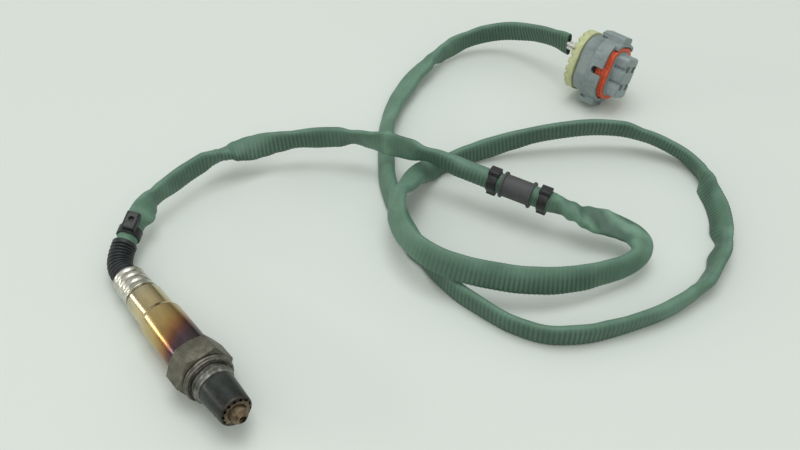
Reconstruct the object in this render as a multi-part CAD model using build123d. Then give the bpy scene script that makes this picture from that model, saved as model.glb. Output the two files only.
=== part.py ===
from build123d import *
import os
from math import atan2, cos, degrees, pi, radians, sin, tan

# A heated four-wire exhaust oxygen sensor with its sleeved lead and plug.
# Millimetres, +Z up. The sensor lies on the ground (z = 0) along X with its tip towards +X.
# Stations along the sensor are measured from the seat face of the hexagon, towards the tip.

# Housing
hex_flats = 22.0
hex_length = 11.2
hex_chamfer_angle = 30
hex_face_radius = 10.5
seat_boss_radius = 9.9
seat_boss_height = 0.4
relief_radius = 8.2
thread_radius = 9.0
thread_start = 3.8
thread_length = 3.6
thread_lead_in = 0.6
spigot_radius = 7.3
spigot_end = 11.2
spigot_bore = 5.4
collar_radius = 8.7
collar_rear = -27.4
collar_bore = 6.4
lip_bore = 5.2
lip_thickness = 1.4
shoulder_station = -3.4
throat_radius = 4.4
tube_ledge = 6.4

# Crush gasket
gasket_length = 2.8
gasket_clearance = 0.3
gasket_band = 2.2
gasket_fold = 0.45
gasket_edge = 0.5

# Protection tubes
outer_tube_base = 7.8
outer_tube_tip = 6.9
outer_tube_end = 24.0
outer_tube_wall = 0.6
outer_tube_corner = 1.1
outer_tube_sleeve = 2.0
outer_tube_foot = 0.2
vent_count = 14
vent_radius = 0.5
vent_circle = 5.75
vent_angle = 35
vent_depth = 5.0
inner_tube_radius = 3.6
inner_tube_end = 28.0
inner_tube_wall = 0.5
inner_tube_corner = 1.7
inner_tube_collar = 0.6
inner_tube_waist = 3.3
inner_tube_offset = 0.2
tip_hole_radius = 1.3
side_vent_count = 6
side_vent_radius = 0.7
side_vent_station = 16.5

# Element and packing
element_tip_radius = 2.4
element_tip_station = 21.5
element_seat_radius = 3.2
element_flange_radius = 5.9
element_flange_length = 5.5
element_stem_radius = 3.6
element_stem_end = -36.0
element_bore = 1.75
element_flange_edge = 0.6
element_tip_edge = 1.2
element_tip_gap = 0.8
heater_radius = 1.5
heater_tip = 18.0
heater_end = -40.0
washer_thickness = 0.6
talc_length = 7.5
crimp_ring_length = 0.8
crimp_ring_clearance = 0.6

# Contacts and grommet
holder_radius = 7.4
holder_front = -31.0
holder_length = 21.6
holder_edge = 0.6
cup_radius = 6.2
cup_depth = 6.0
lead_count = 4
lead_circle = 3.3
lead_radius = 0.95
contact_bore = 1.6
contact_bore_circle = 3.7
contact_blade = (1.6, 0.6)
contact_blade_circle = 4.2
barrel_radius = 1.05
barrel_length = 4.0
contact_end = -51.0
contact_setback = 1.0
contact_dimple_length = 1.2
contact_dimple_setback = 1.6
grommet_head_radius = 7.4
grommet_head_chamfer = 0.6
grommet_radius = 6.0
grommet_end = -66.0

# Protective shell and crimp sleeve
shell_radius = 9.4
shell_wall = 0.6
shell_step = -38.5
shell_step_length = 2.5
shell_upper_radius = 8.2
shell_shoulder = -55.9
shell_shoulder_cut = 1.0
shell_cut_offset = 0.3
shell_step_offset = 0.1
neck_radius = 6.75
neck_end = -66.0
sleeve_bore = 6.8
sleeve_wall = 0.65
sleeve_front = -56.6
sleeve_end = -71.3
sleeve_lip_flare = 0.35
sleeve_lip_length = 0.9
sleeve_roll = 0.5
sleeve_edge = 0.6
crimp_stations = (-60.0, -63.6, -67.2)
crimp_width = 2.5
crimp_sides = 8
crimp_flats = 14.2

# Boot
boot_bore = 4.4
boot_root_radius = 4.95
boot_rib_radius = 5.65
boot_rib_pitch = 1.9
boot_rib_width = 1.1
boot_rib_count = 10
boot_cuff_length = 2.7
boot_spigot_radius = 6.7
boot_spigot_length = 4.0
boot_run_in = 12.6
boot_run_out = 11.0
boot_turn = 54
boot_lift = 22
boot_bend_radius = 15.5
boot_grip = 2.5

# Harness sleeve
cord_radius = 4.75
fit_gap = 0.05

# Bush and its clamps
bush_length = 15.4
bush_body_radius = 5.5
bush_flange_radius = 6.45
bush_flange_thickness = 1.1
bush_position = 0.53
band_radius = 5.6
band_width = 4.5
near_band_gap = 2.2
far_band_gap = 3.6
clamp_head = (5.2, 5.4, 2.2)
clamp_foot = (5.6, 4.6, 2.1)
clamp_sink = 0.8
clamp_edge = 0.7
sleeve_clamp_setback = 5.6
sleeve_clamp_width = 4.4
sleeve_clamp_head = (6.4, 8.6, 2.6)
sleeve_clamp_head_shift = 3.0
sleeve_clamp_eye = (1.1, 1.6, 3.6)
sleeve_clamp_clearance = 0.5
sleeve_clamp_head_turn = 14
sleeve_clamp_edge = 1.2
sleeve_clamp_tail = (1.0, 7.5, 2.6)

# Plug
plug_origin = (-32.6, 271.3)
plug_yaw = 9
plug_roll = -26
plug_length = 15.2
plug_rear = (25.0, 31.0, 11.0)
plug_mouth = (27.0, 33.6, 11.5)
plug_mouth_start = 6.4
plug_mouth_edge = 1.2
plug_cavity = (23.4, 30.6, 9.7)
plug_cavity_start = 8.2
plug_rear_cavity = (19.0, 25.0, 7.9)
plug_rear_cavity_depth = 4.0
plug_window = (15.8, 21.8, 5.0)
keyway_width = 4.0
keyway_start = 8.8
keyway_drop = 0.3
ear_width = 10.0
ear_top = 19.9
ear_bottom = 20.4
ear_round = 2.0
ear_ramp = 1.6
foot_round = 1.2
upper_ear = (3.0, 17.0)
lower_ear = (3.4, 13.4)
hood_width = 17.0
hood_length = 2.6
ear_slot = (3.0, 1.2)
ear_slot_place = (1.5, 1.0, 3.4)
retainer_outer = (27.5, 33.0, 13.0)
retainer_length = 4.7
retainer_gap = 0.8
retainer_window = (14.0, 19.0, 5.0)
retainer_plug_depth = 1.0
notch_count = 22
notch_size = (1.5, 1.6, 2.2)
carrier_flange_length = 2.0
carrier_boss = (16.8, 24.6, 6.2)
carrier_boss_end = 17.9
carrier_core = (12.4, 22.6, 2.5)
carrier_core_end = 24.6
carrier_core_edge = 0.6
carrier_groove = (1.0, 1.7)
carrier_groove_heights = (4.6, -3.4)
cavity_size = 3.4
cavity_corner = 0.4
cavity_pitch = (6.4, 10.0)
terminal_size = 2.8
terminal_span = (11.0, 23.6)
terminal_mouth = 1.4
terminal_corner = 0.25
terminal_reach = 9.0
seal_start = 10.4
seal_end = 17.6
seal_rib_depth = 0.5
seal_thickness = 2.3
seal_land = 0.9
seal_groove_width = 1.2
seal_groove_count = 3
slack = 0.1
tail_radius = 0.95
tail_spread = 1.15
tail_lead_out = 4.0
tail_run_in = 1.0
tail_bends = (2.2, 3.5)
tail_bundle = (-15.5, 1.0, 4.0)

hex_half = hex_flats / 2
hex_corner = hex_flats / (3 ** 0.5)
hex_edge_inset = (hex_half - hex_face_radius) * tan(radians(hex_chamfer_angle))
gasket_front = seat_boss_height + gasket_length
gasket_bore = relief_radius + gasket_clearance
gasket_radius = gasket_bore + gasket_band
thread_end = thread_start + thread_length
flange_rear = shoulder_station - washer_thickness - element_flange_length
talc_rear = flange_rear - talc_length
lip_front = collar_rear + lip_thickness
ring_front = lip_front + crimp_ring_length
# The sensor rests on the rear edge of a flat and on the step of its shell.
lie = degrees(atan2(hex_half - shell_radius, -shell_step - (hex_length - hex_edge_inset)))


def turned(points, cuts={}):
    # A solid of revolution about the sensor's axis from (station, radius) corners, some of
    # them cut off: {(station, radius): cut along each side}.
    outline = []
    for before, here, after in zip(points[-1:] + points[:-1], points, points[1:] + points[:1]):
        corner = Vector(*here)
        if here in cuts:
            for neighbour in (before, after):
                outline.append(corner + (Vector(*neighbour) - corner).normalized() * cuts[here])
        else:
            outline.append(corner)
    return revolve(make_face(Polyline(*outline, close=True)), Axis.X)


def ring(start, end, bore, radius):
    return turned([(start, bore), (start, radius), (end, radius), (end, bore)])


def slab(section, start, end):
    # A rounded rectangle (width, height, corner) drawn across X and extruded along it.
    return extrude(Plane.YZ.offset(start) * RectangleRounded(*section), end - start)


def around(count, radius, first=0.0):
    # Points (y, z) evenly spaced on a circle across X.
    turns = [radians(first) + 2 * pi * i / count for i in range(count)]
    return [(radius * cos(turn), radius * sin(turn)) for turn in turns]


def rod(y, z, radius, start, end):
    return extrude(Plane.YZ.offset(start) * Pos(y, z) * Circle(radius), end - start)


# --- Housing

def sensor_housing():
    face_to_corner = (hex_corner - hex_face_radius) * tan(radians(hex_chamfer_angle))
    prism = extrude(
        Plane.YZ.offset(-hex_length) * RegularPolygon(hex_half, 6, major_radius=False), hex_length
    )
    chamfered = turned([
        (-hex_length, 0),
        (-hex_length, hex_face_radius),
        (-hex_length + face_to_corner, hex_corner),
        (-face_to_corner, hex_corner),
        (0, hex_face_radius),
        (0, 0),
    ])
    core = turned([
        (collar_rear, 0),
        (collar_rear, collar_radius - 0.9),
        (collar_rear + 0.9, collar_radius),
        (-1, collar_radius),
        (-1, seat_boss_radius),
        (seat_boss_height, seat_boss_radius),
        (seat_boss_height, relief_radius),
        (thread_start - 0.5, relief_radius),
        (thread_start, thread_radius),
        (thread_end, thread_radius),
        (thread_end + thread_lead_in, relief_radius),
        (thread_end + thread_lead_in, spigot_radius),
        (spigot_end, spigot_radius),
        (spigot_end, 0),
    ])
    bore = turned([
        (collar_rear, 0),
        (collar_rear, lip_bore),
        (lip_front, lip_bore),
        (lip_front, collar_bore),
        (shoulder_station, collar_bore),
        (shoulder_station, throat_radius),
        (tube_ledge, throat_radius),
        (tube_ledge, spigot_bore),
        (spigot_end, spigot_bore),
        (spigot_end, 0),
    ])
    return (prism & chamfered) + core - bore


def gasket_ring():
    # A folded sheet ring: two rounded beads with a crease between them.
    middle = seat_boss_height + gasket_length / 2
    points = [
        (seat_boss_height, gasket_bore),
        (seat_boss_height, gasket_radius),
        (middle - gasket_fold, gasket_radius),
        (middle, gasket_radius - gasket_fold),
        (middle + gasket_fold, gasket_radius),
        (gasket_front, gasket_radius),
        (gasket_front, gasket_bore),
    ]
    return turned(points, {points[1]: gasket_edge, points[5]: gasket_edge})


# --- Protection tubes

def outer_protection_tube():
    base = thread_end + thread_lead_in
    bore = spigot_radius + fit_gap
    inner_tip = outer_tube_tip - outer_tube_wall
    inner_end = outer_tube_end - outer_tube_wall
    mouth = inner_tube_radius + slack
    points = [
        (base, bore),
        (base, outer_tube_base),
        (base + outer_tube_sleeve, outer_tube_base),
        (outer_tube_end, outer_tube_tip),
        (outer_tube_end, mouth),
        (inner_end, mouth),
        (inner_end, inner_tip),
        (spigot_end + outer_tube_foot, bore),
    ]
    tube = turned(points, {points[3]: outer_tube_corner, points[6]: outer_tube_corner - outer_tube_wall})
    drill = Location((inner_end, 0, vent_circle)) * Rotation(0, 90 - vent_angle, 0) * Cylinder(
        vent_radius, vent_depth
    )
    for i in range(vent_count):
        tube -= Rotation(360 * i / vent_count, 0, 0) * drill
    return tube


def inner_protection_tube():
    collar = spigot_bore - fit_gap
    radius, wall, end = inner_tube_radius, inner_tube_wall, inner_tube_end
    points = [
        (tube_ledge, collar - wall),
        (tube_ledge, collar),
        (spigot_end + inner_tube_collar, collar),
        (spigot_end + inner_tube_waist, radius),
        (end, radius),
        (end, tip_hole_radius),
        (end - wall, tip_hole_radius),
        (end - wall, radius - wall),
        (spigot_end + inner_tube_waist - inner_tube_offset, radius - wall),
        (spigot_end + inner_tube_collar - inner_tube_offset, collar - wall),
    ]
    tube = turned(points, {points[4]: inner_tube_corner, points[7]: inner_tube_corner - wall})
    for y, z in around(side_vent_count, 1):
        hole = Plane(origin=(side_vent_station, 0, 0), z_dir=(0, y, z)) * Circle(side_vent_radius)
        tube -= extrude(hole, radius + 1)
    return tube


# --- Element, packing and contacts

def sensing_element():
    tip = element_tip_station
    flange_front = shoulder_station - washer_thickness
    outside = [
        (element_stem_end, element_bore),
        (element_stem_end, element_stem_radius),
        (flange_rear, element_stem_radius),
        (flange_rear, element_flange_radius),
        (flange_front, element_flange_radius),
        (flange_front, element_seat_radius),
        (tip, element_tip_radius),
        (tip, 0),
        (heater_tip + element_tip_gap, 0),
        (heater_tip + element_tip_gap, element_bore),
    ]
    cuts = {corner: element_flange_edge for corner in outside[3:5]}
    return turned(outside, {**cuts, (tip, element_tip_radius): element_tip_edge})


def heater_rod():
    return turned([(heater_end, 0), (heater_end, heater_radius), (heater_tip, heater_radius), (heater_tip, 0)])


def element_washer():
    front = shoulder_station
    return ring(front - washer_thickness, front, throat_radius + slack, collar_bore - fit_gap)


def talc_packing():
    return ring(talc_rear, flange_rear, element_stem_radius + fit_gap, collar_bore - fit_gap)


def ceramic_sleeve():
    return ring(ring_front, talc_rear, element_stem_radius + fit_gap, collar_bore - fit_gap)


def crimp_ring():
    return ring(lip_front, ring_front, element_stem_radius + crimp_ring_clearance, collar_bore - fit_gap)


def contact_holder():
    rear = holder_front - holder_length
    holder = turned(
        [(rear, 0), (rear, holder_radius), (holder_front, holder_radius), (holder_front, 0)],
        {(rear, holder_radius): holder_edge, (holder_front, holder_radius): holder_edge},
    )
    holder -= turned([
        (holder_front - cup_depth, 0),
        (holder_front - cup_depth, cup_radius),
        (holder_front, cup_radius),
        (holder_front, 0),
    ])
    holder -= rod(0, 0, heater_radius + slack, heater_end - slack, holder_front)
    for y, z in around(lead_count, contact_bore_circle, 45):
        holder -= rod(y, z, contact_bore, rear, holder_front)
    return holder


def contact_springs():
    # Four leaf contacts: a crimp barrel on the lead, a blade, and a dimple that presses on the stem.
    width, thickness = contact_blade
    blade_front = holder_front - contact_setback
    blade = Box(
        blade_front - contact_end, width, thickness,
        align=(Align.MIN, Align.CENTER, Align.CENTER),
    )
    blade = Pos(contact_end, 0, contact_blade_circle) * blade
    barrel = rod(0, lead_circle, barrel_radius, contact_end, contact_end + barrel_length)
    reach = contact_blade_circle - element_stem_radius - fit_gap
    dimple = Pos(blade_front - contact_dimple_setback, 0, contact_blade_circle) * Box(
        contact_dimple_length, width * 0.6, reach, align=(Align.CENTER, Align.CENTER, Align.MAX)
    )
    one = blade + barrel + dimple
    return [Rotation(45 + 360 * i / lead_count, 0, 0) * one for i in range(lead_count)]


def wire_grommet():
    head_front = holder_front - holder_length - slack
    head_rear = shell_shoulder + shell_wall + slack
    body = turned([
        (grommet_end, 0),
        (grommet_end, grommet_radius),
        (head_rear, grommet_radius),
        (head_rear, grommet_head_radius - grommet_head_chamfer),
        (head_rear + grommet_head_chamfer, grommet_head_radius),
        (head_front, grommet_head_radius),
        (head_front, 0),
    ])
    for y, z in around(lead_count, lead_circle, 45):
        body -= rod(y, z, lead_radius + fit_gap, grommet_end, head_front)
    return body


# --- Shell and crimp sleeve

def protective_shell():
    wall = shell_wall
    step_end = shell_step - shell_step_length
    points = [
        (-hex_length, shell_radius - wall),
        (-hex_length, shell_radius),
        (shell_step, shell_radius),
        (step_end, shell_upper_radius),
        (shell_shoulder, shell_upper_radius),
        (shell_shoulder, neck_radius),
        (neck_end, neck_radius),
        (neck_end, neck_radius - wall),
        (shell_shoulder + wall, neck_radius - wall),
        (shell_shoulder + wall, shell_upper_radius - wall),
        (step_end + shell_step_offset, shell_upper_radius - wall),
        (shell_step + shell_step_offset, shell_radius - wall),
    ]
    rounds = {
        points[4]: shell_shoulder_cut,
        points[9]: shell_shoulder_cut - shell_cut_offset,
    }
    return turned(points, rounds)


def crimp_sleeve():
    outside = sleeve_bore + sleeve_wall
    front_lip = outside + sleeve_lip_flare
    roll_bore = boot_root_radius + sleeve_roll
    roll_front = sleeve_end + sleeve_roll
    points = [
        (sleeve_front, sleeve_bore + sleeve_lip_flare),
        (sleeve_front, front_lip),
        (sleeve_front - sleeve_lip_length, outside),
        (sleeve_end, outside),
        (sleeve_end, roll_bore),
        (roll_front, roll_bore),
        (roll_front, sleeve_bore),
        (sleeve_front - sleeve_lip_length, sleeve_bore),
    ]
    sleeve = turned(points, {points[3]: sleeve_edge})
    for station in crimp_stations:
        start, end = station - crimp_width / 2, station + crimp_width / 2
        prism = extrude(
            Plane.YZ.offset(start) * RegularPolygon(crimp_flats / 2, crimp_sides, major_radius=False),
            crimp_width,
        )
        sleeve -= ring(start, end, 1, outside + 1) - prism
    return sleeve


# --- Boot and leads, built on the sensor's axis before it is laid down

def boot_path():
    start = Vector(sleeve_end + sleeve_roll + boot_spigot_length, 0, 0)
    corner = Vector(sleeve_end - boot_run_in, 0, 0)
    turn, lift = radians(boot_turn), radians(boot_lift)
    away = Vector(-cos(turn), sin(turn) * cos(lift), sin(turn) * sin(lift))
    return FilletPolyline(start, corner, corner + away * boot_run_out, radius=boot_bend_radius)


def swept(section, path):
    start = Plane(origin=path @ 0, x_dir=(0, 0, 1), z_dir=path % 0)
    return sweep(start * section, path=path)


def bellows_boot():
    path = boot_path()
    total = path.length
    wall = swept(Circle(boot_root_radius), path)
    rib = extrude(Circle(boot_rib_radius), boot_rib_width / 2, both=True)
    for i in range(boot_rib_count):
        from_end = boot_cuff_length + boot_rib_pitch * (i + 0.5)
        where = path.location_at(1 - from_end / total)
        wall += where * rib
    end = path.location_at(1)
    wall += end * extrude(Circle(boot_rib_radius), -boot_cuff_length)
    spigot_start = sleeve_end + sleeve_roll
    wall += rod(0, 0, boot_spigot_radius, spigot_start + fit_gap, spigot_start + boot_spigot_length)
    wall -= swept(Circle(boot_bore), path)
    socket = extrude(Circle(cord_radius + fit_gap), -boot_grip)
    return wall - end * socket


def lead_wires():
    path = boot_path()
    stop = 1 - boot_grip / path.length
    inside_boot = path.trim(0, stop)
    leads = []
    for y, z in around(lead_count, lead_circle, 45):
        start = Plane(origin=path @ 0, x_dir=(0, 1, 0), z_dir=(-1, 0, 0))
        bent = sweep(start * Pos(y, -z) * Circle(lead_radius), path=inside_boot)
        leads.append(rod(y, z, lead_radius, (path @ 0).X, contact_end) + bent)
    return leads


# --- Harness sleeve: corners of its route on the ground, in the finished frame

route = [
    (-78, 20, 13.5),
    (-86, 36, 15),
    (-92, 58, 15.5),
    (-94, 76, 15.3),
    (-85, 95, 15.5),
    (-76, 112, 17),
    (-62, 128, 19),
    (-46, 138, 20),
    (-30, 147, 21),
    (-6, 156, 20),
    (44, 178.5, 16.6),
    (64.8, 193, 13),
    (75.5, 194, 12),
    (82.6, 185.9, 11),
    (80.5, 172, 10.5),
    (76, 153.5, 12.5),
    (66, 135.5, 15),
    (49, 119, 17.5),
    (31.5, 107, 20),
    (10, 106.5, 20),
    (-9, 118.5, 20),
    (-17, 131, 17),
    (-26, 143, 11),
    (-29.5, 158, 6),
    (-25.5, 179, 6.5),
    (-16, 201, 9),
    (-3, 224, 13),
    (12, 246, 14.5),
    (30, 262, 10.5),
    (50, 267, 6.5),
    (67.5, 256, 5),
    (84, 245, 5),
    (97, 228, 5),
    (106, 206, 5),
    (108, 181, 5),
    (103, 157, 5),
    (93.5, 131, 5),
    (78, 120, 5),
    (58, 114, 5),
    (36, 110, 5),
    (14, 113, 5),
    (-10, 122, 5),
    (-34, 132, 5),
    (-56, 147, 5),
    (-75, 162, 5),
    (-89, 179, 6),
    (-98.5, 199, 7),
    (-105.5, 220.5, 9),
    (-106.5, 243, 10.5),
    (-99, 260, 13.5),
    (-82, 270, 17.5),
    (-63, 272.5, 22),
]
run_count_before_bush = 10


def bend_radii(points):
    # The largest comfortable arc at each corner: its legs take 0.45 of the shorter run.
    radii = []
    for before, corner, after in zip(points, points[1:], points[2:]):
        into, out = corner - before, after - corner
        half_turn = radians(into.get_angle(out)) / 2
        radii.append(0.45 * min(into.length, out.length) / tan(half_turn))
    return radii


def cord_points(start, end):
    return [start] + [Vector(*point) for point in route] + [end]


def harness_sleeve(points):
    path = FilletPolyline(*points, radius=bend_radii(points))
    sleeve = swept(Circle(cord_radius), path)
    print("cord from", points[0], "to", points[-1])
    print("cord bend radii", [round(radius, 1) for radius in bend_radii(points)])
    print("cord length", round(path.length, 1), "volume ratio",
          round(sleeve.volume / (path.length * pi * cord_radius ** 2), 4))
    return sleeve


def along_run(points, run, fraction):
    # A plane on one straight run of the cord: z along the run, y upward.
    start, end = points[run], points[run + 1]
    along = (end - start).normalized()
    side = Vector(0, 0, 1).cross(along).normalized()
    return Plane(origin=start + (end - start) * fraction, x_dir=side, z_dir=along)


# --- Bush and clamps, built along Z with Y upward

def clip_bush():
    half = bush_length / 2
    profile = Polyline(
        (cord_radius + fit_gap, -half),
        (bush_flange_radius, -half),
        (bush_flange_radius, -half + bush_flange_thickness),
        (bush_body_radius, -half + bush_flange_thickness),
        (bush_body_radius, half - bush_flange_thickness),
        (bush_flange_radius, half - bush_flange_thickness),
        (bush_flange_radius, half),
        (cord_radius + fit_gap, half),
        close=True,
    )
    return revolve(make_face(Plane.XZ * profile), Axis.Z)


def bush_clamp():
    head_width, head_length, head_rise = clamp_head
    foot_width, foot_length, foot_drop = clamp_foot
    bore = cord_radius + fit_gap
    clamp = Cylinder(band_radius, band_width)
    top = band_radius + head_rise - clamp_sink
    clamp += Pos(0, top / 2, 0) * fillet(
        Box(head_width, top, head_length).edges().filter_by(Axis.Z).group_by(Axis.Y)[-1], clamp_edge
    )
    bottom = band_radius + foot_drop - clamp_sink
    clamp += Pos(0, -bottom / 2, 0) * Box(foot_width, bottom, foot_length)
    return clamp - Cylinder(bore, 3 * head_length)


def sleeve_clamp():
    # A tie whose buckle lies forward along the sleeve, with an eye in its top.
    width, length, rise = sleeve_clamp_head
    band = Cylinder(band_radius, sleeve_clamp_width) - Cylinder(cord_radius + fit_gap, 2 * sleeve_clamp_width)
    top = band_radius + rise
    head = Pos(0, top / 2, sleeve_clamp_head_shift) * fillet(
        Box(width, top, length).edges().filter_by(Axis.Z).group_by(Axis.Y)[-1], sleeve_clamp_edge
    )
    eye_radius, eye_depth, eye_shift = sleeve_clamp_eye
    head -= Pos(0, top, eye_shift) * Rotation(90, 0, 0) * Cylinder(eye_radius, 2 * eye_depth)
    tail = Pos(sleeve_clamp_tail[0] / 2 - width / 2, band_radius, 0) * Box(
        *sleeve_clamp_tail, align=(Align.CENTER, Align.MAX, Align.CENTER)
    )
    buckle = Rotation(0, 0, sleeve_clamp_head_turn) * (head + tail)
    return band + (buckle - Cylinder(cord_radius + sleeve_clamp_clearance, 6 * sleeve_clamp_width))


# --- Plug, built along X: Y is its far side, Z its upper side

def cavities():
    pitch_y, pitch_z = cavity_pitch
    return [(y * pitch_y / 2, z * pitch_z / 2) for y in (-1, 1) for z in (-1, 1)]


def connector_housing():
    upper_start, upper_end = upper_ear
    lower_start, lower_end = lower_ear
    hood_end = plug_length + hood_length
    mouth = slab(plug_mouth, plug_mouth_start, plug_length)
    body = slab(plug_rear, 0, plug_length) + chamfer(mouth.edges().group_by(Axis.X)[0], plug_mouth_edge)
    # The upper wall runs on past the side walls as a hood over the seal.
    body += slab(plug_mouth, plug_length, hood_end) & Box(
        2 * hood_end, hood_width, plug_mouth[1], align=(Align.CENTER, Align.CENTER, Align.MIN)
    )
    ear = Box(upper_end - upper_start, ear_width, ear_top, align=(Align.MIN, Align.CENTER, Align.MIN))
    ear = fillet(ear.edges().filter_by(Axis.X).group_by(Axis.Z)[-1], ear_round)
    ear = chamfer(ear.edges().group_by(Axis.X)[0].group_by(Axis.Z)[-1], ear_ramp)
    body += Pos(upper_start, 0, 0) * ear
    foot = Box(lower_end - lower_start, ear_width, ear_bottom, align=(Align.MIN, Align.CENTER, Align.MAX))
    foot = fillet(foot.edges().filter_by(Axis.X).group_by(Axis.Z)[0], foot_round)
    body += Pos(lower_start, 0, 0) * foot
    body -= slab(plug_cavity, plug_cavity_start, hood_end)
    body -= slab(plug_rear_cavity, 0, plug_rear_cavity_depth)
    body -= slab(plug_window, 0, hood_end)
    # A short slot across the side of each ear, where the lock's legs clip in.
    slot_length, slot_height = ear_slot
    slot_setback, slot_depth, slot_drop = ear_slot_place
    slot = Box(slot_length, 2 * ear_width, slot_height, align=(Align.MIN, Align.MAX, Align.CENTER))
    slot_side = slot_depth - ear_width / 2
    body -= Pos(upper_start + slot_setback, slot_side, ear_top - slot_drop) * slot
    body -= Pos(lower_start + slot_setback, slot_side, slot_drop - ear_bottom) * slot
    # A keyway through each side wall, round at its root and open at the mouth.
    keyway = Box(plug_length, plug_mouth[0] + 2, keyway_width, align=(Align.MIN, Align.CENTER, Align.CENTER))
    keyway += Rotation(90, 0, 0) * Cylinder(keyway_width / 2, plug_mouth[0] + 2)
    return body - Pos(keyway_start + keyway_width / 2, 0, -keyway_drop) * keyway


def rear_retainer():
    rear = -retainer_gap - retainer_length
    body = slab(retainer_outer, rear, -retainer_gap)
    body += slab([size - 2 * slack for size in plug_rear_cavity], -retainer_gap, retainer_plug_depth)
    body -= slab(retainer_window, rear, retainer_plug_depth)
    rim = (Plane.YZ.offset(rear) * RectangleRounded(*retainer_outer)).wire()
    along, deep, across = notch_size
    for i in range(notch_count):
        where = rim.location_at((i + 0.5) / notch_count)
        tangent = rim.tangent_at((i + 0.5) / notch_count)
        spot = Plane(origin=where.position, x_dir=tangent, z_dir=(1, 0, 0))
        body -= spot * Box(along, 2 * across, 2 * deep)
    return body


def wire_seal():
    body = slab([size - 2 * slack for size in plug_rear_cavity], retainer_plug_depth, plug_rear_cavity_depth)
    for y, z in cavities():
        body -= rod(y, z, tail_radius + fit_gap, retainer_plug_depth, plug_rear_cavity_depth)
    return body


def terminal_carrier():
    start = plug_cavity_start
    flange_end = start + carrier_flange_length
    body = slab([size - 2 * slack for size in plug_cavity], start, flange_end)
    body += slab(carrier_boss, start, carrier_boss_end)
    core = slab(carrier_core, start, carrier_core_end)
    body += chamfer(core.edges().group_by(Axis.X)[-1], carrier_core_edge)
    depth, height = carrier_groove
    for level in carrier_groove_heights:
        for side in (-1, 1):
            body -= Pos(carrier_boss_end, side * carrier_core[0] / 2, level) * Box(
                carrier_core_end, 2 * depth, height, align=(Align.MIN, Align.CENTER, Align.CENTER)
            )
    for y, z in cavities():
        body -= slab((cavity_size, cavity_size, cavity_corner), start, carrier_core_end).moved(Location((0, y, z)))
    return body


def grown(section, margin):
    # The rounded rectangle (width, height, corner) moved outwards by a margin.
    width, height, corner = section
    return width + 2 * margin, height + 2 * margin, corner + margin


def interface_seal():
    band = slab(grown(carrier_boss, seal_thickness), seal_start, seal_end)
    for i in range(seal_groove_count):
        start = seal_start + seal_land + i * (seal_land + seal_groove_width)
        groove = slab(grown(carrier_boss, 2 * seal_thickness), start, start + seal_groove_width)
        band -= groove - slab(grown(carrier_boss, seal_thickness - seal_rib_depth), start, start + seal_groove_width)
    return band - slab(grown(carrier_boss, fit_gap), seal_start, seal_end)


def terminals():
    start, end = terminal_span
    made = []
    for y, z in cavities():
        box = slab((terminal_size, terminal_size, terminal_corner), start, end)
        box -= slab((terminal_mouth, terminal_mouth, terminal_corner), end - terminal_reach, end)
        made.append(Pos(0, y, z) * box)
    return made


def plug_location():
    # The lower corner of the lower ear stands on the ground.
    roll = radians(-plug_roll)
    height = ear_bottom * cos(roll) + ear_width / 2 * sin(roll)
    return Location((*plug_origin, height)) * Rotation(0, 0, plug_yaw) * Rotation(plug_roll, 0, 0)


def wire_tails(cord_end, away, plug):
    # From the cut end of the sleeve to the rear of the terminals.
    side = away.cross(Vector(0, 0, 1)).normalized()
    lift = side.cross(away)
    tails = []
    for y, z in cavities():
        spread_y, spread_z = tail_spread * (1 if y > 0 else -1), tail_spread * (1 if z > 0 else -1)
        first = cord_end - side * spread_y + lift * spread_z
        enter = (plug * Location((-tail_run_in, y, z))).position
        end = (plug * Location((terminal_span[0], y, z))).position
        points = [first, first + away * tail_lead_out, enter, end]
        path = FilletPolyline(*points, radius=tail_bends)
        tails.append(swept(Circle(tail_radius), path))
    return tails


# --- The whole

def joined(shapes):
    return Compound([shape.solid() for shape in shapes])


sensor = {
    "sensor_housing": sensor_housing(),
    "gasket_ring": gasket_ring(),
    "outer_protection_tube": outer_protection_tube(),
    "inner_protection_tube": inner_protection_tube(),
    "sensing_element": sensing_element(),
    "heater_rod": heater_rod(),
    "element_washer": element_washer(),
    "talc_packing": talc_packing(),
    "ceramic_sleeve": ceramic_sleeve(),
    "crimp_ring": crimp_ring(),
    "contact_holder": contact_holder(),
    "contact_springs": joined(contact_springs()),
    "protective_shell": protective_shell(),
    "crimp_sleeve": crimp_sleeve(),
    "wire_grommet": wire_grommet(),
}
leads = {"lead_wires": joined(lead_wires()), "bellows_boot": bellows_boot()}

tipped = Rotation(0, -lie, 0)
laid = joined([tipped * solid for shape in sensor.values() for solid in shape.solids()]).bounding_box()
rest = Pos(-laid.center().X, 0, -laid.min.Z) * tipped
print("sensor size", [round(value, 2) for value in laid.size], "seat at", round(-laid.center().X, 3),
      "axis height", round(-laid.min.Z, 3), "tilt", round(lie, 3))

pieces = {name: rest * shape for name, shape in {**sensor, **leads}.items()}

boot_end = rest * boot_path().location_at(1)
boot_away = (rest * Location(boot_path() % 1)).position - rest.position
cord_start = boot_end.position - boot_away * boot_grip
first_run = (Vector(*route[0]) - boot_end.position).length
route_start = boot_end.position + boot_away * first_run

plug = plug_location()
cord_end = (plug * Location(tail_bundle)).position
points = cord_points(cord_start, cord_end)
points[1] = route_start
pieces["harness_sleeve"] = harness_sleeve(points)
cord_away = (points[-1] - points[-2]).normalized()

bush = along_run(points, run_count_before_bush, bush_position)
clamp_offset = (bush_length + band_width) / 2
pieces["clip_bush"] = bush * clip_bush()
pieces["bush_clamp_near"] = bush * Pos(0, 0, -clamp_offset - near_band_gap) * bush_clamp()
pieces["bush_clamp_far"] = bush * Pos(0, 0, clamp_offset + far_band_gap) * bush_clamp()

clamp_at = (boot_grip + sleeve_clamp_setback) / (points[1] - points[0]).length
pieces["sleeve_clamp"] = along_run(points, 0, clamp_at) * sleeve_clamp()

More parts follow.
